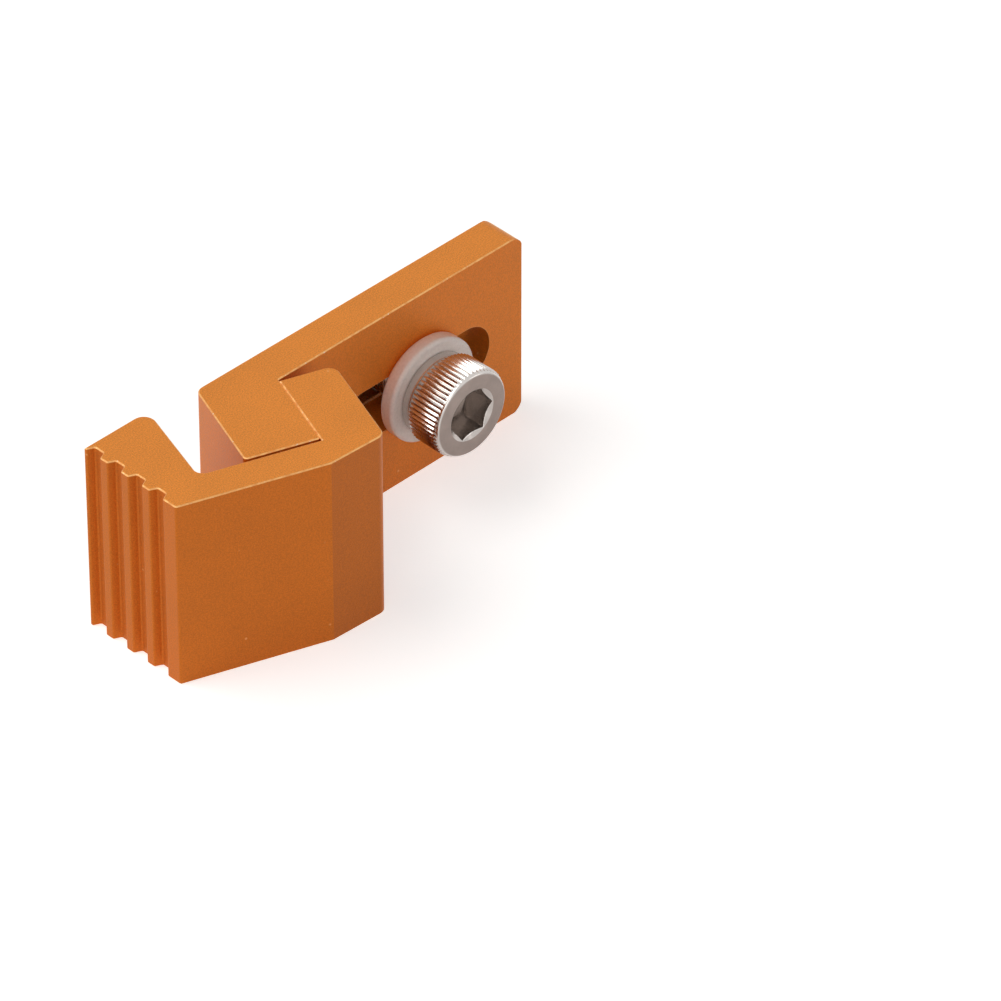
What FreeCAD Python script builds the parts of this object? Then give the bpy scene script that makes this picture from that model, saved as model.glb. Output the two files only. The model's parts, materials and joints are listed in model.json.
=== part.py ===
import FreeCAD, Part
import math
import os

# Low profile edge clamp for an 8 mm T-slot, lying on its side as it was pictured.
# Units are mm and degrees.  Z is the width of the clamp and is up here.
# X runs along the plate: the jaw is at -X and the rear end of the plate at X = 0.
# The plate's underside is Y = 0 and the screw head is on the -Y side of it.

os.makedirs("parts", exist_ok=True)

V = FreeCAD.Vector

# Plate and leg.
width = 30.0               # plate, leg and jaw
plate_thick = 6.0
plate_length = 54.7        # underside, from the leg's foot to the rear end
ramp_angle = 20.0          # the jaw slides down at this angle to the plate
leg_thick = 10.8
leg_height = 16.2          # square to the ramp, from the foot
foot_round = 1.5
leg_front_round = 0.6
small_round = 0.3
rear_round = 2.2           # underside edge of the rear end
rear_corner = 2.3          # radius of the rear end's two corners, seen from the screw head
edge_break = 0.15          # fine chamfer round both side faces

# Slot for the cap screw.
slot_clearance = 0.35      # each side of the screw's nominal size
slot_travel = 19.3         # between the centres of the slot's two round ends
slot_end_wall = 6.3        # metal left behind the slot

# Jaw.
jaw_wall = 5.0             # bridge over the leg
jaw_bridge_gap = 0.45      # between the leg's top and the bridge
jaw_rear_thick = 8.0
jaw_plate_gap = 0.3        # under the rear leg, where it comes closest to the plate
jaw_travel = 6.0
jaw_travel_spare = 0.8
jaw_front_root = 6.7       # front leg, where it meets the bridge
jaw_front_lean = 17.5      # inner face of the front leg, from square to the plate
nose_drop = 1.25           # the nose stands below the plate's underside
nose_round = 1.8
jaw_hollow_round = 1.5
jaw_front_top_round = 0.4
jaw_rear_top_round = 1.5
jaw_rear_low_round = 1.6
facet_length = 8.3         # nearly flat rear part of the jaw's top, along X
facet_angle = 3.0

# Serrations across the jaw's face.
groove_count = 4
groove_pitch = 4.0
groove_mouth = 2.65
groove_floor = 1.55
groove_depth = 1.1
groove_round = 0.3
first_land = 0.35

# Jaw screw and guide pins.
jaw_screw_size = 6.0
jaw_screw_length = 12.0
jaw_head_width = 10.0
jaw_head_height = 4.0
jaw_head_sunk = 0.9        # below the jaw's rear face
jaw_head_room = 1.0        # round the head in its counterbore
jaw_socket = 4.0
jaw_socket_depth = 2.4
jaw_hole_room = 0.35       # round the screw where it passes through the jaw
jaw_hole_drop = 6.5        # axis below the underside of the bridge
pin_size = 5.0
pin_length = 16.0
pin_spread = 20.5          # between the axes of the two pins
pin_sunk = 1.3             # pin ends below the jaw's rear face
pin_running = 0.05         # radial, in the jaw
pin_chamfer = 0.5

# Cap screw, washer and T-nut.
screw_size = 8.0
thread_running = 0.05      # radial, between a screw's shank and its tapped hole
screw_back = 19.2          # axis, from the rear end
screw_tip_below = 10.5     # tip, below the plate's underside
head_width = 13.3
head_height = 7.4
head_collar = 1.5          # plain base under the knurl
collar_step = 0.25         # the collar is this much below the knurl's root
head_rim_bevel = 0.5
knurl_count = 60
knurl_depth = 0.3
socket = 6.0
socket_depth = 4.2
washer_width = 15.8
washer_thick = 2.4
washer_round = 0.4
washer_room = 0.35         # radial, round the screw
tip_chamfer = 0.9
nut_length = 20.4
nut_width = 20.0
nut_neck_width = 7.8
nut_neck_height = 1.8
nut_body_height = 5.6
nut_bevel = 3.3
nut_round = 0.6
nut_end_bevel = 0.4
bore_bevel = 0.4

# Hexagon sockets, and the least length that counts.
socket_lead = 0.5          # share of corner height by which the lead-in cone is wider
socket_point = 30.0        # slope of the cone at the socket's floor
tiny = 1e-6

# Derived places.
mid = width / 2
ramp_cos = math.cos(math.radians(ramp_angle))
ramp_sin = math.sin(math.radians(ramp_angle))
RAMP = V(ramp_cos, -ramp_sin, 0)       # rearwards, and away from the table
RISE = V(-ramp_sin, -ramp_cos, 0)      # square to it, up the leg
UP = V(0, -1, 0)                       # from the plate towards the screw head
DOWN = V(0, 1, 0)
ACROSS = V(0, 0, 1)
foot = V(-plate_length, 0, 0)

bridge_low = leg_height + jaw_bridge_gap
bridge_high = bridge_low + jaw_wall
jaw_back = leg_thick + jaw_rear_thick
leg_joins_plate = (plate_thick - leg_thick * ramp_sin) / ramp_cos
jaw_low = leg_joins_plate + jaw_plate_gap
front_gap = jaw_travel + jaw_travel_spare
hole_high = bridge_low - jaw_hole_drop


def on_ramp(along, high, z=0.0):
    """Point given along the ramp and square to it, from the leg's foot."""
    return foot + RAMP * along + RISE * high + ACROSS * z


def crossing(p, direction, q, other):
    """Point where two lines in the XY plane cross."""
    turn = direction.x * other.y - direction.y * other.x
    reach = ((q.x - p.x) * other.y - (q.y - p.y) * other.x) / turn
    return p + direction * reach


def rounded_wire(corners):
    """Closed wire through (point, radius) corners, with an arc at each radius."""
    spans = []
    for index, (point, radius) in enumerate(corners):
        before = corners[index - 1][0] - point
        after = corners[(index + 1) % len(corners)][0] - point
        if radius == 0:
            spans.append((point, None, point))
            continue
        before.normalize()
        after.normalize()
        half = before.getAngle(after) / 2
        bisector = before + after
        bisector.normalize()
        back = radius / math.tan(half)
        middle = bisector * (radius / math.sin(half) - radius)
        spans.append((point + before * back, point + middle, point + after * back))
    edges = []
    for index, (start, middle, end) in enumerate(spans):
        if middle is not None:
            edges.append(Part.Arc(start, middle, end).toShape())
        following = spans[(index + 1) % len(spans)][0]
        if (following - end).Length > tiny:
            edges.append(Part.makeLine(end, following))
    return Part.Wire(edges)


def prism(corners, sweep):
    """Solid swept from a rounded outline."""
    return Part.Face(rounded_wire(corners)).extrude(sweep)


def side_axes(axis):
    """Two directions square to an axis that lies in the XY plane."""
    return ACROSS, axis.cross(ACROSS)


def star(centre, axis, radii):
    """Face with one corner for each radius, evenly spaced round an axis."""
    two, one = side_axes(axis)
    points = []
    for index, radius in enumerate(radii):
        angle = 2 * math.pi * index / len(radii)
        points.append(centre + one * (radius * math.cos(angle)) + two * (radius * math.sin(angle)))
    return Part.Face(Part.makePolygon(points + points[:1]))


def turned(base, axis, profile):
    """Solid turned from (height, radius) pairs along an axis from its base."""
    one = side_axes(axis)[0]
    points = [base + axis * height + one * radius for height, radius in profile]
    first = base + axis * profile[0][0]
    last = base + axis * profile[-1][0]
    face = Part.Face(Part.makePolygon([first] + points + [last, first]))
    return face.revolve(base, axis, 360)


def hex_socket(mouth, axis, across, depth):
    """Cutter for a hexagon socket sunk from its mouth, with a cone at each end."""
    corner = across / math.sqrt(3)
    flat = across / 2
    cutter = star(mouth, axis, [corner] * 6).extrude(axis * -depth)
    wide = corner + (corner - flat) * socket_lead
    cutter = cutter.fuse(Part.makeCone(wide, flat, wide - flat, mouth, axis * -1))
    point = flat * math.tan(math.radians(socket_point))
    return cutter.fuse(Part.makeCone(flat, 0, point, mouth - axis * depth, axis * -1))


def break_sides(solid):
    """Fine chamfer round the outlines of both side faces."""
    chosen = []
    for edge in solid.Edges:
        box = edge.BoundBox
        if box.ZLength < tiny and min(abs(box.ZMin), abs(box.ZMax - width)) < tiny:
            chosen.append(edge)
    return solid.makeChamfer(edge_break, chosen)


# Clamp body: a plate with a leg that leans forwards.
body = prism([
    (foot, foot_round),
    (on_ramp(0, leg_height), leg_front_round),
    (on_ramp(leg_thick, leg_height), small_round),
    (on_ramp(leg_thick, leg_joins_plate), 0),
    (UP * plate_thick, small_round),
    (V(0, 0, 0), rear_round),
], ACROSS * width)
plan = prism([
    (V(2 * foot.x, 0, 0), 0),
    (V(0, 0, 0), rear_corner),
    (V(0, 0, width), rear_corner),
    (V(2 * foot.x, 0, width), 0),
], UP * 2 * leg_height)
body = break_sides(body).common(plan)

slot_radius = screw_size / 2 + slot_clearance
slot_rear = -(slot_end_wall + slot_radius)
slot_front = slot_rear - slot_travel
for end_x in (slot_rear, slot_front):
    body = body.cut(Part.makeCylinder(slot_radius, plate_thick, V(end_x, 0, mid), UP))
between = Part.makeBox(slot_travel, plate_thick, 2 * slot_radius,
                       V(slot_front, -plate_thick, mid - slot_radius))
body = body.cut(between)

body = body.cut(Part.makeCylinder(jaw_screw_size / 2, leg_thick, on_ramp(0, hole_high, mid), RAMP))
pin_stands_out = jaw_rear_thick - pin_sunk
pin_depth = pin_length - pin_stands_out
pin_heights = {"guide_pin_lower": mid - pin_spread / 2, "guide_pin_upper": mid + pin_spread / 2}
for z in pin_heights.values():
    seat = on_ramp(leg_thick - pin_depth, hole_high, z)
    body = body.cut(Part.makeCylinder(pin_size / 2, pin_depth, seat, RAMP))

# Jaw: hooks over the leg.
hollow_front = on_ramp(-front_gap, bridge_low)
lean = math.radians(jaw_front_lean)
inner_slope = V(math.sin(lean), math.cos(lean), 0)
face_x = hollow_front.x - jaw_front_root
nose_line = V(face_x, nose_drop, 0)
nose_inner = crossing(hollow_front, inner_slope, nose_line, V(1, 0, 0))
top_front = crossing(nose_line, DOWN, on_ramp(0, bridge_high), RAMP)
facet = math.radians(facet_angle)
facet_way = V(math.cos(facet), -math.sin(facet), 0)
rear_top = on_ramp(jaw_back, bridge_high)
bend = crossing(V(rear_top.x - facet_length, 0, 0), DOWN, on_ramp(0, bridge_high), RAMP)
rear_top = crossing(bend, facet_way, on_ramp(jaw_back, 0), RISE)

face_corners = []
slope = (groove_mouth - groove_floor) / 2
for index in range(groove_count):
    low = nose_drop - first_land - index * groove_pitch
    face_corners += [
        (V(face_x, low, 0), groove_round),
        (V(face_x + groove_depth, low - slope, 0), groove_round),
        (V(face_x + groove_depth, low - slope - groove_floor, 0), groove_round),
        (V(face_x, low - groove_mouth, 0), groove_round),
    ]
jaw = prism([(nose_line, 0)] + face_corners + [
    (top_front, jaw_front_top_round),
    (bend, 0),
    (rear_top, jaw_rear_top_round),
    (on_ramp(jaw_back, jaw_low), jaw_rear_low_round),
    (on_ramp(leg_thick, jaw_low), 0),
    (on_ramp(leg_thick, bridge_low), 0),
    (hollow_front, jaw_hollow_round),
    (nose_inner, nose_round),
], ACROSS * width)
jaw = break_sides(jaw)

head_seat = jaw_back - jaw_head_sunk - jaw_head_height
jaw = jaw.cut(Part.makeCylinder(jaw_screw_size / 2 + jaw_hole_room, jaw_rear_thick,
                                on_ramp(leg_thick, hole_high, mid), RAMP))
jaw = jaw.cut(Part.makeCylinder(jaw_head_width / 2 + jaw_head_room, jaw_head_height + jaw_head_sunk,
                                on_ramp(head_seat, hole_high, mid), RAMP))
for z in pin_heights.values():
    jaw = jaw.cut(Part.makeCylinder(pin_size / 2 + pin_running, jaw_rear_thick,
                                    on_ramp(leg_thick, hole_high, z), RAMP))

# Jaw screw: low head, hexagon socket.
shank = jaw_screw_size / 2 - thread_running
head = jaw_head_width / 2
jaw_screw = turned(on_ramp(head_seat, hole_high, mid), RAMP, [
    (-jaw_screw_length, shank - tip_chamfer),
    (tip_chamfer - jaw_screw_length, shank),
    (0, shank),
    (0, head - small_round),
    (small_round, head),
    (jaw_head_height - small_round, head),
    (jaw_head_height, head - small_round),
])
jaw_face = on_ramp(head_seat + jaw_head_height, hole_high, mid)
jaw_screw = jaw_screw.cut(hex_socket(jaw_face, RAMP, jaw_socket, jaw_socket_depth))

# Guide pins, pressed into the leg.
pins = {}
for name, z in pin_heights.items():
    pins[name] = turned(on_ramp(leg_thick - pin_depth, hole_high, z), RAMP, [
        (0, pin_size / 2 - pin_chamfer),
        (pin_chamfer, pin_size / 2),
        (pin_length - pin_chamfer, pin_size / 2),
        (pin_length, pin_size / 2 - pin_chamfer),
    ])

# Washer, cap screw and T-nut share one axis.
axis_foot = V(-screw_back, 0, mid)
washer_radius = washer_width / 2
washer = turned(axis_foot + UP * plate_thick, UP, [
    (0, washer_radius - washer_round),
    (washer_round, washer_radius),
    (washer_thick - washer_round, washer_radius),
    (washer_thick, washer_radius - washer_round),
])
washer = washer.cut(Part.makeCylinder(screw_size / 2 + washer_room, washer_thick,
                                      axis_foot + UP * plate_thick, UP))

head_base = axis_foot + UP * (plate_thick + washer_thick)
head_radius = head_width / 2
root_radius = head_radius - knurl_depth
collar_radius = root_radius - collar_step
shank = screw_size / 2 - thread_running
tip = -(plate_thick + washer_thick + screw_tip_below)
cap_screw = turned(head_base, UP, [
    (tip, shank - tip_chamfer),
    (tip + tip_chamfer, shank),
    (0, shank),
    (0, collar_radius - small_round),
    (small_round, collar_radius),
    (head_collar, collar_radius),
    (head_collar, root_radius),
    (head_height - head_rim_bevel, root_radius),
    (head_height, root_radius - head_rim_bevel),
])
knurl = star(head_base + UP * head_collar, UP, [head_radius, root_radius] * knurl_count)
cap_screw = cap_screw.fuse(knurl.extrude(UP * (head_height - head_collar - head_rim_bevel)))
cap_screw = cap_screw.cut(hex_socket(head_base + UP * head_height, UP, socket, socket_depth))

nut_foot = axis_foot - V(nut_length / 2, 0, 0)
half_neck = nut_neck_width / 2
half_nut = nut_width / 2
nut_high = nut_neck_height + nut_body_height
nut = prism([
    (nut_foot + V(0, 0, -half_neck), 0),
    (nut_foot + V(0, 0, half_neck), 0),
    (nut_foot + V(0, nut_neck_height, half_neck), 0),
    (nut_foot + V(0, nut_neck_height, half_nut), nut_round),
    (nut_foot + V(0, nut_high - nut_bevel, half_nut), nut_round),
    (nut_foot + V(0, nut_high, half_nut - nut_bevel), nut_round),
    (nut_foot + V(0, nut_high, nut_bevel - half_nut), nut_round),
    (nut_foot + V(0, nut_high - nut_bevel, -half_nut), nut_round),
    (nut_foot + V(0, nut_neck_height, -half_nut), nut_round),
    (nut_foot + V(0, nut_neck_height, -half_neck), 0),
], V(nut_length, 0, 0))
ends = [e for e in nut.Edges if e.BoundBox.XLength < tiny]
nut = nut.makeChamfer(nut_end_bevel, ends)
nut = nut.cut(Part.makeCylinder(screw_size / 2, nut_high, axis_foot, DOWN))
mouth = axis_foot + DOWN * nut_high
nut = nut.cut(Part.makeCone(screw_size / 2 + bore_bevel, screw_size / 2, bore_bevel, mouth, UP))

# Move the origin to the bottom centre of everything, and write each piece.
pieces = {"clamp_body": body, "jaw": jaw, "jaw_screw": jaw_screw}
pieces.update(pins)
pieces.update({"nylon_washer": washer, "cap_screw": cap_screw, "t_nut": nut})
box = Part.makeCompound(list(pieces.values())).optimalBoundingBox(False)
shift = V(-box.Center.x, -box.Center.y, -box.ZMin)
for name, shape in pieces.items():
    solid = shape.removeSplitter()
    solid.translate(shift)
    if solid.ShapeType != "Solid":
        solid = solid.Solids[0]
    solid.exportStep("parts/" + name + ".step")
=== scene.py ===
import json
import math

import bmesh
import bpy
from mathutils import Matrix, Vector


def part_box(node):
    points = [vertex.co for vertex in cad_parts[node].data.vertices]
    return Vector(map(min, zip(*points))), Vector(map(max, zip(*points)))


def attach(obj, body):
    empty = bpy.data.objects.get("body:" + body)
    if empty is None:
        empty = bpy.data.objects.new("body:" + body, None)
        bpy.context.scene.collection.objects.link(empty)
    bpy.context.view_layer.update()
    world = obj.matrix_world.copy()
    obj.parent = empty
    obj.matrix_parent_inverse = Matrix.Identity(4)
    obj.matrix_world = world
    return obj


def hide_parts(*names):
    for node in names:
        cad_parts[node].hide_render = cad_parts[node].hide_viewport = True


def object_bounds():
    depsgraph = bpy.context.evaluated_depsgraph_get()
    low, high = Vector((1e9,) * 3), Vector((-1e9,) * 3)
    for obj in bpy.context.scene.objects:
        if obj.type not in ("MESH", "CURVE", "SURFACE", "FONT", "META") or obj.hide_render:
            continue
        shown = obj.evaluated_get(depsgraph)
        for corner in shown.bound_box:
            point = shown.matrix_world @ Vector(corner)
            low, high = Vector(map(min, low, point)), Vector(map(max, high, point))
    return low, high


bl_info = {
    "name": "Edge Clamp",
    "version": (1, 0, 0),
    "blender": (4, 5, 0),
    "location": "View3D > Sidebar > Clamp",
    "description": "Dresses a low profile edge clamp: screws, finishes, light and camera",
    "category": "Object",
}

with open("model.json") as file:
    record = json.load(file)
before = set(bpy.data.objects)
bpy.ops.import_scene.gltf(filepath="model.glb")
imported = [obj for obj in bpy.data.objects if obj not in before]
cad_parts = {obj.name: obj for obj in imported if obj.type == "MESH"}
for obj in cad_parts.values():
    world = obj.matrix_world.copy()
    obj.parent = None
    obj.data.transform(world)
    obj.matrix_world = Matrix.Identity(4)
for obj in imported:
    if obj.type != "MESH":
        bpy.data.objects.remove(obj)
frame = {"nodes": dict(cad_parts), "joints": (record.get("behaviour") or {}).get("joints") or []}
SOLIDS_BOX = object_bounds()

MM = 0.001
WHITE = (1.0, 1.0, 1.0)
PIN_NODES = ("guide_pin_upper", "guide_pin_lower")

# Both heads: rounding of the edges, and the point held halfway round it.
ROUNDING = 0.3 * MM
ROUNDING_HALFWAY = 0.09 * MM
# Both sockets: steepness of the cone that leads in, and the spacing of its rings.
LEAD_SLOPE = 1.5
LEAD_STEP = 0.05 * MM
# Both sockets: radius of the floor against the flats, and the drill point's slope and share.
FLOOR_SHARE = 0.97
POINT_SLOPE = math.radians(30)
POINT_SHARE = 0.96
# Both threads: depth as a share of the pitch, and how far the top goes into the head.
THREAD_DEPTH = 0.6134
THREAD_SINK = 0.2 * MM
TIP_CONE = 0.85 * MM

MERGE_DISTANCE = 1e-6
CUT_DISTANCE = 1e-7
SHARP_ANGLE = math.radians(32)

CAP_SEGMENTS = 360
CAP_AXIS = Vector((0, -1, 0))
CAP_NECK = 4.6 * MM
CAP_COLLAR_HEIGHT = 1.5 * MM
CAP_COLLAR_STEP = 0.25 * MM
CAP_RIM = 0.5 * MM
CAP_THREAD_RADIUS = 3.94 * MM
CAP_SOCKET = {"flat": 3.0 * MM, "deep": 4.2 * MM, "lead": 0.08 * MM, "lead_rings": 14,
              "flare": 0.38 * MM}
# The knurl's two ends, in mm: height from the top of the collar or the foot of the rim,
# radius from the bottom of the grooves, and the share of the knurl's depth reached there.
CAP_KNURL_START = ((-0.10, -0.25, 0.0), (0.02, -0.15, 0.0), (0.25, 0.0, 0.25), (0.55, 0.0, 1.0))
CAP_KNURL_END = ((-0.30, 0.0, 1.0), (-0.05, 0.0, 0.35), (0.05, 0.0, 0.0))
# The rounded edge of the end face, in mm: distance below the face, inset from the grooves.
CAP_RIM_ROUND = ((0.30, 0.01), (0.20, 0.05), (0.11, 0.13), (0.04, 0.23), (0.01, 0.33), (0.0, 0.45))

JAW_SEGMENTS = 180
JAW_NECK = 3.4 * MM
JAW_HEAD_HEIGHT = 4.0 * MM
JAW_HEAD_RADIUS = 5.0 * MM
JAW_THREAD_RADIUS = 2.94 * MM
JAW_THREAD_LENGTH = 12.0 * MM
JAW_SOCKET = {"flat": 2.0 * MM, "deep": 2.4 * MM, "lead": 0.12 * MM, "lead_rings": 13,
              "flare": 0.0}

# Where a mask goes from 0 to 1, by the Z or the Y of the face's normal.
CHAMFER_LEAN = (0.45, 0.60)
# Painted sheen: faces along Z, near the side planes, get the yellower side colour.
SIDE_SHEEN_LEAN = (0.80, 0.93)
# Painted shade: faces that look straight along -Y are darkened, for the light that falls less on
# them.
PAINTED_SHADE_LEAN = (-0.97, -0.985)
# Painted reflection: steel faces along -Y get the darker, browner head face colour.
REFLECTION_FACE_LEAN = (-0.75, -0.985)
# The two masks by Z hold only this close to the clamp's side faces.
SIDE_BAND = (1.4 * MM, 1.1 * MM)
# Painted shade: share by which the jaw's faces along -Y are darkened.
JAW_FRONT_PAINTED_SHADE = 0.30

WORLD_COLOUR = (1.0, 0.99, 0.98)
WORLD_STRENGTH = 0.16
FLOOR_GLOW = 0.60
# Name, place from the clamp's middle, side, the setting that holds its power, and colour.
LAMPS = (
    ("top lamp", (-0.42, 0.44, 0.95), 0.8, "top_light", (1, 0.98, 0.95)),
    ("side lamp", (-0.70, -0.72, 0.60), 0.9, "side_light", (1, 0.98, 0.96)),
    ("right lamp", (0.35, -0.32, 0.22), 0.2, "right_light", (1, 0.98, 0.96)),
)
SENSOR_WIDTH = 36.0
CLIP_END = 20.0


def middle(node):
    """Centre of a node's box, in metres."""
    low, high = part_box(node)
    return (Vector(low) + Vector(high)) / 2


def joint(name):
    """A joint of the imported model, by its name."""
    return next(item for item in frame["joints"] if item["name"] == name)


class ClampScrewSettings(bpy.types.PropertyGroup):
    """Sizes of the two screws that the eye can see."""

    thread_segments: bpy.props.IntProperty(
        name="Thread segments", description="Steps in one turn of a thread", default=48, min=12)
    cap_pitch: bpy.props.FloatProperty(
        name="Cap screw pitch", description="Advance of the cap screw's thread in one turn",
        default=1.25 * MM, subtype="DISTANCE", unit="LENGTH")
    jaw_pitch: bpy.props.FloatProperty(
        name="Jaw screw pitch", description="Advance of the jaw screw's thread in one turn",
        default=1.0 * MM, subtype="DISTANCE", unit="LENGTH")
    knurl_ridges: bpy.props.IntProperty(
        name="Knurl ridges", description="Ridges round the cap screw's head", default=60, min=12)
    knurl_depth: bpy.props.FloatProperty(
        name="Knurl depth", description="Depth of the grooves between two ridges",
        default=0.3 * MM, subtype="DISTANCE", unit="LENGTH")
    socket_turn: bpy.props.FloatProperty(
        name="Socket turn", description="Angle of one corner of the cap screw's hexagon, from +X",
        default=math.radians(3), subtype="ANGLE", unit="ROTATION")
    jaw_socket_turn: bpy.props.FloatProperty(
        name="Jaw socket turn", description="Angle of one corner of the jaw screw's hexagon",
        default=math.radians(10), subtype="ANGLE", unit="ROTATION")


class ClampFinishSettings(bpy.types.PropertyGroup):
    """Colours of the clamp's finishes."""

    jaw_orange: bpy.props.FloatVectorProperty(
        name="Jaw orange", description="Anodised colour of the jaw's milled faces",
        default=(0.66, 0.172, 0.014), size=3, subtype="COLOR", min=0.0, max=1.0)
    plate_orange: bpy.props.FloatVectorProperty(
        name="Plate orange", description="Anodised colour of the plate's and leg's milled faces",
        default=(0.74, 0.205, 0.018), size=3, subtype="COLOR", min=0.0, max=1.0)
    # Painted sheen: a yellower tone on the faces along Z, standing in for the haze they catch from
    # the lamp overhead.
    side_sheen_orange: bpy.props.FloatVectorProperty(
        name="Cut face orange", description="Yellower colour of the side faces, cut from the bar",
        default=(0.78, 0.262, 0.036), size=3, subtype="COLOR", min=0.0, max=1.0)
    # Paler worn edges, partly painted highlight that the chamfers catch; also the colour of the
    # painted glints.
    pale_wear_and_highlight: bpy.props.FloatVectorProperty(
        name="Bright edge", description="Paler orange along the sharp edges",
        default=(1.0, 0.55, 0.20), size=3, subtype="COLOR", min=0.0, max=1.0)
    bare_metal: bpy.props.FloatVectorProperty(
        name="Bare metal", description="Aluminium that shows in the chips along the edges",
        default=(0.96, 0.80, 0.62), size=3, subtype="COLOR", min=0.0, max=1.0)
    steel: bpy.props.FloatVectorProperty(
        name="Steel", description="Bright stainless steel of screws and pins",
        default=(0.60, 0.56, 0.53), size=3, subtype="COLOR", min=0.0, max=1.0)
    # Painted highlight: a paler colour along the edges of screws and pins.
    steel_edge_highlight: bpy.props.FloatVectorProperty(
        name="Steel edge", description="Polished edges of screws and pins",
        default=(0.86, 0.84, 0.82), size=3, subtype="COLOR", min=0.0, max=1.0)
    # Painted reflection: the darker brown of the head's end face stands in for the dim, orange
    # surroundings it mirrors.
    painted_head_reflection: bpy.props.FloatVectorProperty(
        name="Head face", description="Duller end face of the cap screw's head",
        default=(0.28, 0.225, 0.200), size=3, subtype="COLOR", min=0.0, max=1.0)
    plating: bpy.props.FloatVectorProperty(
        name="Plating", description="Nickel plating of the slot nut",
        default=(0.47, 0.455, 0.43), size=3, subtype="COLOR", min=0.0, max=1.0)
    plating_edge: bpy.props.FloatVectorProperty(
        name="Plating edge", description="Worn edges of the slot nut",
        default=(0.84, 0.82, 0.78), size=3, subtype="COLOR", min=0.0, max=1.0)
    nylon: bpy.props.FloatVectorProperty(
        name="Nylon", description="Milky plastic of the washer",
        default=(1.0, 0.85, 0.79), size=3, subtype="COLOR", min=0.0, max=1.0)


class ClampStageSettings(bpy.types.PropertyGroup):
    """Camera, floor and lamps."""

    lens: bpy.props.FloatProperty(
        name="Lens", description="Focal length of the camera in mm", default=315.64)
    heading: bpy.props.FloatProperty(
        name="Heading", description="Direction the camera looks in, from +X towards +Y",
        default=math.radians(45.338), subtype="ANGLE", unit="ROTATION")
    dip: bpy.props.FloatProperty(
        name="Dip", description="How far the camera looks down",
        default=math.radians(38.714), subtype="ANGLE", unit="ROTATION")
    camera_place: bpy.props.FloatVectorProperty(
        name="Camera place", description="Where the camera stands",
        default=(-0.63036, -0.66995, 0.7422), size=3, subtype="TRANSLATION", unit="LENGTH")
    floor_size: bpy.props.FloatProperty(
        name="Floor size", description="Side of the floor",
        default=6.0, subtype="DISTANCE", unit="LENGTH")
    floor_colour: bpy.props.FloatVectorProperty(
        name="Floor colour", description="Pale grey of the floor",
        default=(0.80, 0.80, 0.80), size=3, subtype="COLOR", min=0.0, max=1.0)
    top_light: bpy.props.FloatProperty(
        name="Top light", description="Power of the large lamp overhead in watts", default=7.0)
    side_light: bpy.props.FloatProperty(
        name="Side light", description="Power of the lamp to the left of the clamp in watts",
        default=2.1)
    right_light: bpy.props.FloatProperty(
        name="Right light", description="Power of the small lamp to the right in watts",
        default=0.12)


def new_group(name, inputs, outputs):
    """Shader node group with named sockets; returns it with its two end nodes."""
    group = bpy.data.node_groups.new(name, "ShaderNodeTree")
    for label, kind, default in inputs:
        socket = group.interface.new_socket(name=label, in_out="INPUT", socket_type=kind)
        if default is not None:
            socket.default_value = default
    for label, kind in outputs:
        group.interface.new_socket(name=label, in_out="OUTPUT", socket_type=kind)
    return group, group.nodes.new("NodeGroupInput"), group.nodes.new("NodeGroupOutput")


def add(tree, kind, **values):
    """New node with its plain properties set."""
    node = tree.nodes.new(kind)
    for key, value in values.items():
        setattr(node, key, value)
    return node


def fill(node, **values):
    """Set a node's inputs by their labels, with _ for a space."""
    for label, value in values.items():
        node.inputs[label.replace("_", " ")].default_value = value
    return node


def math_node(tree, operation, first, second=0.0):
    """Math node; each operand is a socket or a number."""
    node = add(tree, "ShaderNodeMath", operation=operation)
    for slot, operand in enumerate((first, second)):
        if isinstance(operand, (int, float)):
            node.inputs[slot].default_value = operand
        else:
            tree.links.new(operand, node.inputs[slot])
    return node.outputs[0]


def spread(tree, value, span, target=(0.0, 1.0)):
    """Map a span of a value onto another span, held at both ends."""
    node = fill(add(tree, "ShaderNodeMapRange"), From_Min=span[0], From_Max=span[1],
                To_Min=target[0], To_Max=target[1])
    tree.links.new(value, node.inputs["Value"])
    return node.outputs["Result"]


def noise(tree, vector, scale, detail=3.0, roughness=0.55):
    """Noise on a vector socket; scale is in features per metre."""
    node = fill(add(tree, "ShaderNodeTexNoise"), Scale=scale, Detail=detail, Roughness=roughness)
    tree.links.new(vector, node.inputs["Vector"])
    return node.outputs["Fac"]


def split(tree, vector):
    """The X, Y and Z of a vector socket, as sockets by name."""
    node = add(tree, "ShaderNodeSeparateXYZ")
    tree.links.new(vector, node.inputs[0])
    return node.outputs


def mix_colour(tree, factor, first, second):
    """Colour mix by a factor socket; each colour is a socket or a constant."""
    node = add(tree, "ShaderNodeMix", data_type="RGBA")
    tree.links.new(factor, node.inputs["Factor"])
    for socket, colour in ((node.inputs[6], first), (node.inputs[7], second)):
        if isinstance(colour, bpy.types.NodeSocket):
            tree.links.new(colour, socket)
        else:
            socket.default_value = (*colour, 1.0)
    return node.outputs[2]


def scale_colour(tree, colour, factor):
    """Colour socket times a number socket."""
    node = add(tree, "ShaderNodeVectorMath", operation="SCALE")
    tree.links.new(colour, node.inputs[0])
    tree.links.new(factor, node.inputs["Scale"])
    return node.outputs["Vector"]


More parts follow.
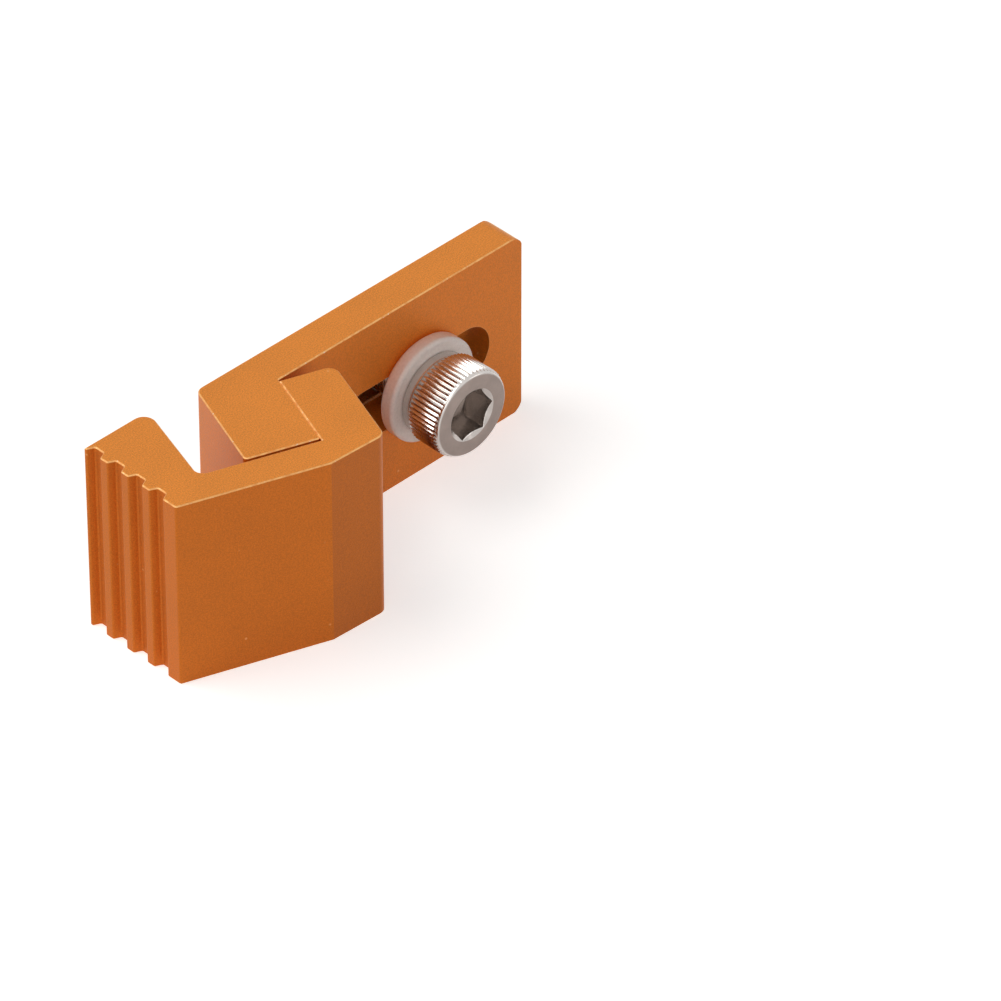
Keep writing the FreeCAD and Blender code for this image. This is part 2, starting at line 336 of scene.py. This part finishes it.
def make_edge_group():
    """Masks of sharp edges: a thin, a little broken line, partly wear and partly painted
    highlight, and small bare chips along it.
    """
    soft_against_true, line_strength = (0.985, 0.90), (0.0, 0.7)
    patch_scale, patch_span = 900.0, (0.38, 0.58)
    nick_scale, nick_span = 2100.0, (0.66, 0.72)
    group, start, end = new_group(
        "clamp edge wear",
        [("Vector", "NodeSocketVector", None), ("Width", "NodeSocketFloat", 0.2 * MM),
         ("Chamfer", "NodeSocketFloat", 0.0), ("Break up", "NodeSocketFloat", 0.4)],
        [("Mask", "NodeSocketFloat"), ("Chips", "NodeSocketFloat")])
    bevel = add(group, "ShaderNodeBevel", samples=6)
    group.links.new(start.outputs["Width"], bevel.inputs["Radius"])
    geometry = add(group, "ShaderNodeNewGeometry")
    dot = add(group, "ShaderNodeVectorMath", operation="DOT_PRODUCT")
    group.links.new(bevel.outputs["Normal"], dot.inputs[0])
    group.links.new(geometry.outputs["Normal"], dot.inputs[1])
    turned = spread(group, dot.outputs["Value"], soft_against_true, line_strength)
    edge = math_node(group, "MAXIMUM", turned, start.outputs["Chamfer"])
    patchy = noise(group, start.outputs["Vector"], patch_scale, detail=4.0, roughness=0.6)
    gaps = spread(group, patchy, patch_span)
    keep = math_node(group, "SUBTRACT", 1.0, start.outputs["Break up"])
    held = math_node(group, "MULTIPLY", gaps, start.outputs["Break up"])
    share = math_node(group, "ADD", keep, held)
    group.links.new(math_node(group, "MULTIPLY", edge, share), end.inputs["Mask"])
    nicks = noise(group, start.outputs["Vector"], nick_scale, detail=2.0, roughness=0.5)
    bare = spread(group, nicks, nick_span)
    group.links.new(math_node(group, "MULTIPLY", edge, bare), end.inputs["Chips"])
    return group


def make_grain_group():
    """Fine blasted grain: a height, a tone and pale specks, painted glints, that vary over the
    surface.
    """
    cloud_scale, cloud_share = 120.0, 0.18
    speck_scale, speck_size = 420.0, (0.10, 0.04)
    where_scale, where_span = 260.0, (0.56, 0.62)
    group, start, end = new_group(
        "clamp blasted grain",
        [("Vector", "NodeSocketVector", None), ("Scale", "NodeSocketFloat", 6000.0)],
        [("Height", "NodeSocketFloat"), ("Tone", "NodeSocketFloat"),
         ("Specks", "NodeSocketFloat")])
    place = start.outputs["Vector"]
    fine = fill(add(group, "ShaderNodeTexNoise"), Detail=2.0)
    cells = add(group, "ShaderNodeTexVoronoi")
    for texture in (fine, cells):
        group.links.new(place, texture.inputs["Vector"])
        group.links.new(start.outputs["Scale"], texture.inputs["Scale"])
    height = math_node(group, "ADD", fine.outputs["Fac"], cells.outputs["Distance"])
    group.links.new(height, end.inputs["Height"])
    cloud = noise(group, place, cloud_scale, detail=5.0, roughness=0.6)
    blend = math_node(group, "MULTIPLY", cloud, cloud_share)
    small = math_node(group, "MULTIPLY", fine.outputs["Fac"], 1 - cloud_share)
    group.links.new(math_node(group, "ADD", blend, small), end.inputs["Tone"])
    dots = fill(add(group, "ShaderNodeTexVoronoi"), Scale=speck_scale)
    group.links.new(place, dots.inputs["Vector"])
    near = spread(group, dots.outputs["Distance"], speck_size)
    chosen = spread(group, noise(group, place, where_scale, detail=1.0), where_span)
    group.links.new(math_node(group, "MULTIPLY", near, chosen), end.inputs["Specks"])
    return group


def make_wear_group():
    """Fine handling scratches and smudges of bright metal."""
    scratch_scale, smudge_scale = 2200.0, 350.0
    group, start, end = new_group(
        "clamp metal wear",
        [("Vector", "NodeSocketVector", None), ("Stretch", "NodeSocketVector", (1.0, 1.0, 1.0))],
        [("Scratches", "NodeSocketFloat"), ("Smudge", "NodeSocketFloat")])
    scaled = add(group, "ShaderNodeVectorMath", operation="MULTIPLY")
    group.links.new(start.outputs["Vector"], scaled.inputs[0])
    group.links.new(start.outputs["Stretch"], scaled.inputs[1])
    lines = noise(group, scaled.outputs["Vector"], scratch_scale, detail=5.0, roughness=0.65)
    group.links.new(lines, end.inputs["Scratches"])
    group.links.new(noise(group, start.outputs["Vector"], smudge_scale), end.inputs["Smudge"])
    return group


SHARED = {}


def shared(maker, *values):
    """A node group or material that several pieces use, made the first time it's asked for."""
    if maker not in SHARED:
        SHARED[maker] = maker(*values)
    return SHARED[maker]


def place_group(tree, vector, maker, **inputs):
    """Shared node group placed in a material, on a vector socket and with its own values."""
    node = fill(add(tree, "ShaderNodeGroup", node_tree=shared(maker)), **inputs)
    tree.links.new(vector, node.inputs["Vector"])
    return node


def start_material(name):
    """Material with its tree, its shader and an Object coordinate socket."""
    material = bpy.data.materials.new(name)
    material.use_nodes = True
    tree = material.node_tree
    shader = tree.nodes["Principled BSDF"]
    place = add(tree, "ShaderNodeTexCoord").outputs["Object"]
    return material, tree, shader, place


def face_normal(tree):
    """The X, Y and Z of the normal on the mesh, as sockets by name."""
    return split(tree, add(tree, "ShaderNodeTexCoord").outputs["Normal"])


def bump(tree, shader, height, strength, depth, soft=0.0):
    """Bump from a height socket into the shader's normal; soft is the radius given to edges."""
    node = fill(add(tree, "ShaderNodeBump"), Strength=strength, Distance=depth)
    if soft:
        bevel = fill(add(tree, "ShaderNodeBevel", samples=8), Radius=soft)
        tree.links.new(bevel.outputs["Normal"], node.inputs["Normal"])
    tree.links.new(height, node.inputs["Height"])
    tree.links.new(node.outputs["Normal"], shader.inputs["Normal"])


def anodised_material(name, milled, painted_front_shade, finish):
    """Bead blasted aluminium with a satin orange coat and bright edges.

    Side faces, whose normals are along Z, have a yellower colour, painted sheen, and fine bright
    chamfers, partly painted highlight.
    The front shade is painted shade: it darkens the faces that look straight along -Y, for the
    light that falls less on them.
    """
    shade_darkening, side_swing, glint_share = 0.5, 0.5, 0.5
    swing_tone, swing_span = (0.36, 0.64), (-0.12, 0.12)
    rough_tone, rough_span = (0.3, 0.7), (0.38, 0.50)
    material, tree, shader, place = start_material(name)
    grain = place_group(tree, place, make_grain_group, Scale=5200.0)
    edge = place_group(tree, place, make_edge_group, Width=0.16 * MM, Break_up=0.5)

    parts = face_normal(tree)
    lean = math_node(tree, "ABSOLUTE", parts["Z"])
    half = middle("clamp_body").z
    off_middle = math_node(tree, "SUBTRACT", split(tree, place)["Z"], half)
    outside = spread(tree, math_node(tree, "ABSOLUTE", off_middle),
                     [half - reach for reach in SIDE_BAND])
    # Chamfers along the side faces take the paler edge colour: partly wear, partly painted
    # highlight.
    rises = math_node(tree, "MULTIPLY", spread(tree, lean, CHAMFER_LEAN), outside)
    # Painted sheen mask: faces along Z get the yellower colour and a stronger grain swing.
    side = math_node(tree, "MULTIPLY", spread(tree, lean, SIDE_SHEEN_LEAN), outside)
    tree.links.new(math_node(tree, "SUBTRACT", rises, side), edge.inputs["Chamfer"])

    # Painted shade: faces along -Y get a darker copy of the coat colour.
    painted_shade_mask = spread(tree, parts["Y"], PAINTED_SHADE_LEAN, (0.0, painted_front_shade))
    colour = mix_colour(tree, painted_shade_mask, tuple(milled), tuple(Vector(milled) * shade_darkening))
    colour = mix_colour(tree, side, colour, tuple(finish.side_sheen_orange))
    swing = spread(tree, grain.outputs["Tone"], swing_tone, swing_span)
    more = math_node(tree, "ADD", math_node(tree, "MULTIPLY", side, side_swing), 1.0)
    tone = math_node(tree, "ADD", math_node(tree, "MULTIPLY", swing, more), 1.0)
    colour = scale_colour(tree, colour, tone)
    # Painted glints: pale specks of the blasted grain in the edge colour.
    pale = math_node(tree, "MULTIPLY", grain.outputs["Specks"], glint_share)
    colour = mix_colour(tree, pale, colour, tuple(finish.pale_wear_and_highlight))
    # Paler edges: partly wear, partly painted highlight on the chamfers.
    colour = mix_colour(tree, edge.outputs["Mask"], colour, tuple(finish.pale_wear_and_highlight))
    colour = mix_colour(tree, edge.outputs["Chips"], colour, tuple(finish.bare_metal))
    tree.links.new(colour, shader.inputs["Base Color"])

    rough = spread(tree, grain.outputs["Tone"], rough_tone, rough_span)
    tree.links.new(rough, shader.inputs["Roughness"])
    fill(shader, Metallic=0.40, Specular_IOR_Level=0.2)
    bump(tree, shader, grain.outputs["Height"], strength=0.45, depth=0.04 * MM)
    return material


def steel_material(finish):
    """Bright stainless steel with fine scratches and painted highlights along its edges; faces
    that look along -Y are darker and browner, a painted reflection of dim, orange surroundings.
    """
    edge_share = 0.6
    smudge_span, smudge_tone = (0.35, 0.65), (0.90, 1.06)
    scratch_span, rough_span = (0.35, 0.65), (0.14, 0.26)
    material, tree, shader, place = start_material("stainless steel")
    wear = place_group(tree, place, make_wear_group, Stretch=(1.0, 6.0, 1.0))
    edge = place_group(tree, place, make_edge_group, Width=0.12 * MM, Break_up=0.3)

    # Painted reflection: faces along -Y get the darker, browner head face colour.
    painted_reflection_mask = spread(tree, face_normal(tree)["Y"], REFLECTION_FACE_LEAN)
    colour = mix_colour(tree, painted_reflection_mask, tuple(finish.steel), tuple(finish.painted_head_reflection))
    smudge = spread(tree, wear.outputs["Smudge"], smudge_span, smudge_tone)
    colour = scale_colour(tree, colour, smudge)
    # Painted highlight: a paler colour along the steel's edges.
    bright = math_node(tree, "MULTIPLY", edge.outputs["Mask"], edge_share)
    colour = mix_colour(tree, bright, colour, tuple(finish.steel_edge_highlight))
    tree.links.new(colour, shader.inputs["Base Color"])

    rough = spread(tree, wear.outputs["Scratches"], scratch_span, rough_span)
    tree.links.new(rough, shader.inputs["Roughness"])
    fill(shader, Metallic=1.0)
    bump(tree, shader, wear.outputs["Scratches"], strength=0.10, depth=0.02 * MM)
    return material


def plated_material(finish):
    """Tumbled and nickel plated steel with a soft brushed grain."""
    dark, light, edge_share = 0.93, 1.06, 0.5
    line_span = (0.36, 0.64)
    rough_tone, rough_span = (0.3, 0.7), (0.24, 0.40)
    material, tree, shader, place = start_material("nickel plate")
    wear = place_group(tree, place, make_wear_group, Stretch=(0.12, 1.0, 1.0))
    edge = place_group(tree, place, make_edge_group, Width=0.3 * MM, Break_up=0.5)
    grain = place_group(tree, place, make_grain_group, Scale=2600.0)

    base = Vector(finish.plating)
    lines = spread(tree, wear.outputs["Scratches"], line_span)
    colour = mix_colour(tree, lines, tuple(base * dark), tuple(base * light))
    worn = math_node(tree, "MULTIPLY", edge.outputs["Mask"], edge_share)
    colour = mix_colour(tree, worn, colour, tuple(finish.plating_edge))
    tree.links.new(colour, shader.inputs["Base Color"])

    rough = spread(tree, grain.outputs["Tone"], rough_tone, rough_span)
    tree.links.new(rough, shader.inputs["Roughness"])
    fill(shader, Metallic=1.0)
    bump(tree, shader, wear.outputs["Scratches"], strength=0.10, depth=0.03 * MM, soft=0.5 * MM)
    return material


def nylon_material(finish):
    """Milky nylon that lets a little light through."""
    dark, light = 0.95, 1.05
    tone_span = (0.35, 0.65)
    rough_tone, rough_span = (0.3, 0.7), (0.38, 0.50)
    material, tree, shader, place = start_material("milky nylon")
    grain = place_group(tree, place, make_grain_group, Scale=3000.0)

    base = Vector(finish.nylon)
    tone = spread(tree, grain.outputs["Tone"], tone_span)
    colour = mix_colour(tree, tone, tuple(base * dark), tuple(base * light))
    tree.links.new(colour, shader.inputs["Base Color"])

    rough = spread(tree, grain.outputs["Tone"], rough_tone, rough_span)
    tree.links.new(rough, shader.inputs["Roughness"])
    fill(shader, Subsurface_Weight=0.3, Subsurface_Radius=(1.0, 0.7, 0.6),
         Subsurface_Scale=0.8 * MM, Coat_Weight=0.7, Coat_Roughness=0.25)
    bump(tree, shader, grain.outputs["Height"], strength=0.08, depth=0.02 * MM, soft=0.7 * MM)
    return material


def dress(obj, material):
    """Give an object one material and nothing else."""
    obj.data.materials.clear()
    obj.data.materials.append(material)


def first_ring(bm, segments, height, radius):
    """Circle of edges about Z at a height."""
    bmesh.ops.create_circle(bm, cap_ends=False, radius=radius, segments=segments)
    bmesh.ops.translate(bm, verts=bm.verts, vec=(0, 0, height))
    return bm.edges[:]


def next_ring(bm, edges, height, radius_at):
    """Extrude a ring of edges to a height, with a radius that is a function of the angle."""
    made = bmesh.ops.extrude_edge_only(bm, edges=edges)["geom"]
    for vert in (item for item in made if isinstance(item, bmesh.types.BMVert)):
        angle = math.atan2(vert.co.y, vert.co.x)
        radius = radius_at(angle)
        vert.co = (radius * math.cos(angle), radius * math.sin(angle), height)
    return [item for item in made if isinstance(item, bmesh.types.BMEdge) and item.is_boundary]


def hex_radius(angle, flat, corner):
    """Distance from the axis to a hexagon's side at an angle, with one corner at a given angle."""
    sector = math.radians(60)
    return flat / math.cos((angle - corner) % sector - sector / 2)


def knurl_shape(angle, ridges):
    """0 at the bottom of a groove, 1 on a ridge, with sharp ridges and rounded grooves."""
    return 1 - abs(math.sin(angle * ridges / 2))


def rounded_base(radius):
    """Rings of a head's lower edge, from the base up."""
    return [(0, radius - ROUNDING, 0), (ROUNDING_HALFWAY, radius - ROUNDING_HALFWAY, 0),
            (ROUNDING, radius, 0)]


def make_head(bm, segments, outer, screws, corner, flat, deep, lead, lead_rings, flare):
    """Screw head about Z: outer rings from the base up, then the socket down to its floor.

    outer is a list of (height, radius, knurl share). The hexagon has one corner at the angle
    corner. Its sides are flat away from the axis at the floor, which is deep below the top,
    and lean out by flare up to the mouth. A cone leads in, lead beyond the corners.
    """
    top = outer[-1][0]
    floor = top - deep

    def socket(angle, level=floor):
        return hex_radius(angle, flat + flare * (level - floor) / deep, corner)

    ring = first_ring(bm, segments, outer[0][0], outer[0][1])
    for height, radius, share in outer[1:]:
        ridge = share * screws.knurl_depth
        ring = next_ring(
            bm, ring, height,
            lambda angle: radius + ridge * knurl_shape(angle, screws.knurl_ridges))
    mouth = (flat + flare) * 2 / math.sqrt(3) + lead
    for step in range(lead_rings):
        down = step * LEAD_STEP
        ring = next_ring(
            bm, ring, top - down,
            lambda angle: max(socket(angle, top - down), mouth - down * LEAD_SLOPE))
    ring = next_ring(bm, ring, floor, socket)
    ring = next_ring(bm, ring, floor, lambda angle: flat * FLOOR_SHARE)
    point = flat * math.tan(POINT_SLOPE) * POINT_SHARE
    next_ring(bm, ring, floor - point, lambda angle: flat * (1 - POINT_SHARE))
    bmesh.ops.holes_fill(bm, edges=[edge for edge in bm.edges if edge.is_boundary], sides=0)


def make_thread(bm, steps, pitch, major, length):
    """Threaded shank below Z = 0, with a cone at its tip and its top sunk into the head."""
    depth = THREAD_DEPTH * pitch
    flat = pitch / 8
    slope = (pitch - flat * 3) / 2
    heights = (0, flat, flat + slope, flat * 3 + slope, pitch)
    radii = (major, major, major - depth, major - depth, major)
    verts = [bm.verts.new((r, 0, h)) for r, h in zip(radii, heights)]
    edges = [bm.edges.new(pair) for pair in zip(verts, verts[1:])]
    turns = math.ceil((length + THREAD_SINK) / pitch) + 2
    bmesh.ops.translate(bm, verts=verts, vec=(0, 0, -length - 2 * pitch))
    bmesh.ops.spin(
        bm, geom=verts + edges, cent=(0, 0, 0), axis=(0, 0, 1), dvec=(0, 0, pitch / steps),
        angle=2 * math.pi * turns, steps=steps * turns, use_merge=False, use_duplicate=False)
    bmesh.ops.remove_doubles(bm, verts=bm.verts, dist=MERGE_DISTANCE)
    for level, outward in ((-length, -1), (THREAD_SINK, 1)):
        everything = bm.verts[:] + bm.edges[:] + bm.faces[:]
        bmesh.ops.bisect_plane(
            bm, geom=everything, plane_co=(0, 0, level), plane_no=(0, 0, outward),
            clear_outer=True, dist=CUT_DISTANCE)
        rim = [edge for edge in bm.edges if edge.is_boundary
               and all(abs(vert.co.z - level) < MERGE_DISTANCE for vert in edge.verts)]
        bmesh.ops.holes_fill(bm, edges=rim, sides=0)
    for vert in bm.verts:
        reach = major - TIP_CONE + (vert.co.z + length)
        radius = vert.co.xy.length
        if radius > reach > 0:
            vert.co.xy *= reach / radius


def join(bm, other):
    """Add the second bmesh to the first one."""
    part = bpy.data.meshes.new("joined")
    other.to_mesh(part)
    other.free()
    bm.from_mesh(part)
    bpy.data.meshes.remove(part)


def finish_piece(name, bm, base, axis, body, node, material):
    """Mesh object from a bmesh that was made about Z, stood on its base along an axis."""
    turn = Vector((0, 0, 1)).rotation_difference(axis).to_matrix().to_4x4()
    bmesh.ops.transform(bm, matrix=Matrix.Translation(base) @ turn, verts=bm.verts)
    bmesh.ops.recalc_face_normals(bm, faces=bm.faces)
    mesh = bpy.data.meshes.new(name)
    bm.to_mesh(mesh)
    bm.free()
    mesh.set_sharp_from_angle(angle=SHARP_ANGLE)
    for polygon in mesh.polygons:
        polygon.use_smooth = True
    obj = bpy.data.objects.new(name, mesh)
    bpy.context.scene.collection.objects.link(obj)
    dress(obj, material)
    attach(obj, body)
    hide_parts(node)


class CLAMP_OT_anodised(bpy.types.Operator):
    """Finish the clamp body and the jaw in blasted orange anodising"""

    bl_idname = "clamp.anodised"
    bl_label = "Anodised body and jaw"

    def execute(self, context):
        finish = context.scene.clamp_finish
        dress(frame["nodes"]["clamp_body"],
              anodised_material("anodised plate", finish.plate_orange, 0.0, finish))
        dress(frame["nodes"]["jaw"],
              anodised_material("anodised jaw", finish.jaw_orange, JAW_FRONT_PAINTED_SHADE, finish))
        return {"FINISHED"}


class CLAMP_OT_cap_screw(bpy.types.Operator):
    """Model the knurled cap screw with its socket and thread"""

    bl_idname = "clamp.cap_screw"
    bl_label = "Knurled cap screw"

    def execute(self, context):
        screws = context.scene.clamp_screws
        low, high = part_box("cap_screw")
        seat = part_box("nylon_washer")[0][1]
        centre = middle("cap_screw")
        top = seat - low[1]
        root = (high[0] - low[0]) / 2 - screws.knurl_depth
        outer = [(0, CAP_NECK, 0)] + rounded_base(root - CAP_COLLAR_STEP)
        for start, rows in ((CAP_COLLAR_HEIGHT, CAP_KNURL_START), (top - CAP_RIM, CAP_KNURL_END)):
            outer += [(start + up * MM, root + out * MM, share) for up, out, share in rows]
        outer += [(top - down * MM, root - inset * MM, 0) for down, inset in CAP_RIM_ROUND]
        bm = bmesh.new()
        make_head(bm, CAP_SEGMENTS, outer, screws, screws.socket_turn, **CAP_SOCKET)
        thread = bmesh.new()
        make_thread(thread, screws.thread_segments, screws.cap_pitch, CAP_THREAD_RADIUS,
                    high[1] - seat)
        join(bm, thread)
        finish_piece("knurled_cap_screw", bm, Vector((centre.x, seat, centre.z)), CAP_AXIS,
                     "cap_screw", "cap_screw",
                     shared(steel_material, context.scene.clamp_finish))
        return {"FINISHED"}


class CLAMP_OT_jaw_screw(bpy.types.Operator):
    """Model the low head screw that pulls the jaw"""

    bl_idname = "clamp.jaw_screw"
    bl_label = "Jaw screw"

    def execute(self, context):
        screws = context.scene.clamp_screws
        axis = Vector(joint("jaw_slide")["axis"]).normalized()
        face = Vector(joint("jaw_screw_turn")["pos_m"])
        lower = rounded_base(JAW_HEAD_RADIUS)
        upper = [(JAW_HEAD_HEIGHT - up, radius, share) for up, radius, share in reversed(lower)]
        bm = bmesh.new()
        make_head(bm, JAW_SEGMENTS, [(0, JAW_NECK, 0)] + lower + upper, screws,
                  screws.jaw_socket_turn, **JAW_SOCKET)
        thread = bmesh.new()
        make_thread(thread, screws.thread_segments, screws.jaw_pitch, JAW_THREAD_RADIUS,
                    JAW_THREAD_LENGTH)
        join(bm, thread)
        finish_piece("jaw_pull_screw", bm, face - axis * JAW_HEAD_HEIGHT, axis,
                     "jaw_screw", "jaw_screw",
                     shared(steel_material, context.scene.clamp_finish))
        return {"FINISHED"}


class CLAMP_OT_hardware(bpy.types.Operator):
    """Finish the guide pins, the slot nut and the washer"""

    bl_idname = "clamp.hardware"
    bl_label = "Pins, nut and washer"

    def execute(self, context):
        finish = context.scene.clamp_finish
        for node in PIN_NODES:
            dress(frame["nodes"][node], shared(steel_material, finish))
        dress(frame["nodes"]["t_nut"], plated_material(finish))
        dress(frame["nodes"]["nylon_washer"], nylon_material(finish))
        return {"FINISHED"}


def seen_directly(tree):
    """1 for rays from the camera, and for those that metal or glass sends on."""
    rays = add(tree, "ShaderNodeLightPath").outputs
    through = math_node(tree, "MAXIMUM", rays["Is Transmission Ray"], rays["Is Glossy Ray"])
    return math_node(tree, "MAXIMUM", rays["Is Camera Ray"], through)


def mix_shaders(tree, factor, first, second):
    """Shader mix by a factor socket."""
    node = add(tree, "ShaderNodeMixShader")
    for socket, source in zip(node.inputs, (factor, first, second)):
        tree.links.new(source, socket)
    return node.outputs[0]


def backdrop_world():
    """World that looks white to the camera and in reflections, and lights the object less."""
    world = bpy.data.worlds.new("studio")
    world.use_nodes = True
    tree = world.node_tree
    tree.nodes.clear()
    light = fill(add(tree, "ShaderNodeBackground"), Color=(*WORLD_COLOUR, 1.0),
                 Strength=WORLD_STRENGTH)
    white = fill(add(tree, "ShaderNodeBackground"), Color=(*WHITE, 1.0))
    mixed = mix_shaders(tree, seen_directly(tree), light.outputs[0], white.outputs[0])
    tree.links.new(mixed, add(tree, "ShaderNodeOutputWorld").inputs["Surface"])
    return world


def floor_material(colour):
    """Pale matt floor that the camera sees a little whiter than it is."""
    cloud_scale, cloud_tone = 3.0, 1.02
    material, tree, shader, place = start_material("pale floor")
    paler = tuple(Vector(colour) * cloud_tone)
    mottled = mix_colour(tree, noise(tree, place, cloud_scale), colour, paler)
    tree.links.new(mottled, shader.inputs["Base Color"])
    fill(shader, Roughness=0.9, Specular_IOR_Level=0.1)
    glow = fill(add(tree, "ShaderNodeEmission"), Color=(*WHITE, 1.0), Strength=FLOOR_GLOW)
    both = add(tree, "ShaderNodeAddShader")
    tree.links.new(shader.outputs[0], both.inputs[0])
    tree.links.new(glow.outputs[0], both.inputs[1])
    mixed = mix_shaders(tree, seen_directly(tree), shader.outputs[0], both.outputs[0])
    tree.links.new(mixed, tree.nodes["Material Output"].inputs["Surface"])
    return material


def add_lamp(name, place, aim, size, power, colour):
    """Square area lamp at a place, turned to its aim."""
    lamp = bpy.data.lights.new(name, "AREA")
    lamp.shape = "SQUARE"
    lamp.size = size
    lamp.energy = power
    lamp.color = colour
    obj = bpy.data.objects.new(name, lamp)
    obj.location = place
    obj.rotation_euler = (aim - place).to_track_quat("-Z", "Y").to_euler()
    bpy.context.scene.collection.objects.link(obj)


class CLAMP_OT_stage(bpy.types.Operator):
    """Set the floor, the lamps, the world and the camera"""

    bl_idname = "clamp.stage"
    bl_label = "Stage"

    def execute(self, context):
        stage = context.scene.clamp_stage
        context.scene.view_settings.view_transform = "Standard"
        context.scene.world = backdrop_world()
        bm = bmesh.new()
        bmesh.ops.create_grid(bm, x_segments=1, y_segments=1, size=stage.floor_size / 2)
        mesh = bpy.data.meshes.new("floor")
        bm.to_mesh(mesh)
        bm.free()
        floor = bpy.data.objects.new("floor", mesh)
        context.scene.collection.objects.link(floor)
        dress(floor, floor_material(tuple(stage.floor_colour)))

        centre = (Vector(SOLIDS_BOX[0]) + Vector(SOLIDS_BOX[1])) / 2
        for name, place, size, power, colour in LAMPS:
            add_lamp(name, centre + Vector(place), centre, size, getattr(stage, power), colour)

        across = Vector((math.sin(stage.heading), -math.cos(stage.heading), 0))
        ahead = Vector((math.cos(stage.heading) * math.cos(stage.dip),
                        math.sin(stage.heading) * math.cos(stage.dip), -math.sin(stage.dip)))
        upward = across.cross(ahead)
        camera = bpy.data.cameras.new("camera")
        camera.lens = stage.lens
        camera.sensor_width = SENSOR_WIDTH
        camera.clip_end = CLIP_END
        obj = bpy.data.objects.new("camera", camera)
        turn = Matrix((across, upward, -ahead)).transposed().to_4x4()
        obj.matrix_world = Matrix.Translation(Vector(stage.camera_place)) @ turn
        context.scene.collection.objects.link(obj)
        context.scene.camera = obj
        return {"FINISHED"}


class CLAMP_PT_panel(bpy.types.Panel):
    """Sidebar panel with the clamp's sizes, colours and steps"""

    bl_idname = "CLAMP_PT_panel"
    bl_label = "Edge Clamp"
    bl_space_type = "VIEW_3D"
    bl_region_type = "UI"
    bl_category = "Clamp"

    def draw(self, context):
        layout = self.layout
        for name, group in SETTINGS.items():
            box = layout.box()
            for label in group.__annotations__:
                box.prop(getattr(context.scene, name), label)
        for operator in OPERATORS:
            layout.operator(operator.bl_idname)


SETTINGS = {
    "clamp_screws": ClampScrewSettings,
    "clamp_finish": ClampFinishSettings,
    "clamp_stage": ClampStageSettings,
}
OPERATORS = (
    CLAMP_OT_anodised,
    CLAMP_OT_cap_screw,
    CLAMP_OT_jaw_screw,
    CLAMP_OT_hardware,
    CLAMP_OT_stage,
)


def register():
    """Register the settings, the operators and the panel."""
    for name, group in SETTINGS.items():
        bpy.utils.register_class(group)
        setattr(bpy.types.Scene, name, bpy.props.PointerProperty(type=group))
    for operator in OPERATORS:
        bpy.utils.register_class(operator)
    bpy.utils.register_class(CLAMP_PT_panel)


def unregister():
    """Take back all that register added."""
    bpy.utils.unregister_class(CLAMP_PT_panel)
    for operator in reversed(OPERATORS):
        bpy.utils.unregister_class(operator)
    for name, group in SETTINGS.items():
        delattr(bpy.types.Scene, name)
        bpy.utils.unregister_class(group)


def main():
    """Build everything in order."""
    register()
    bpy.ops.clamp.anodised()
    bpy.ops.clamp.cap_screw()
    bpy.ops.clamp.jaw_screw()
    bpy.ops.clamp.hardware()
    bpy.ops.clamp.stage()


if __name__ == "__main__":
    main()
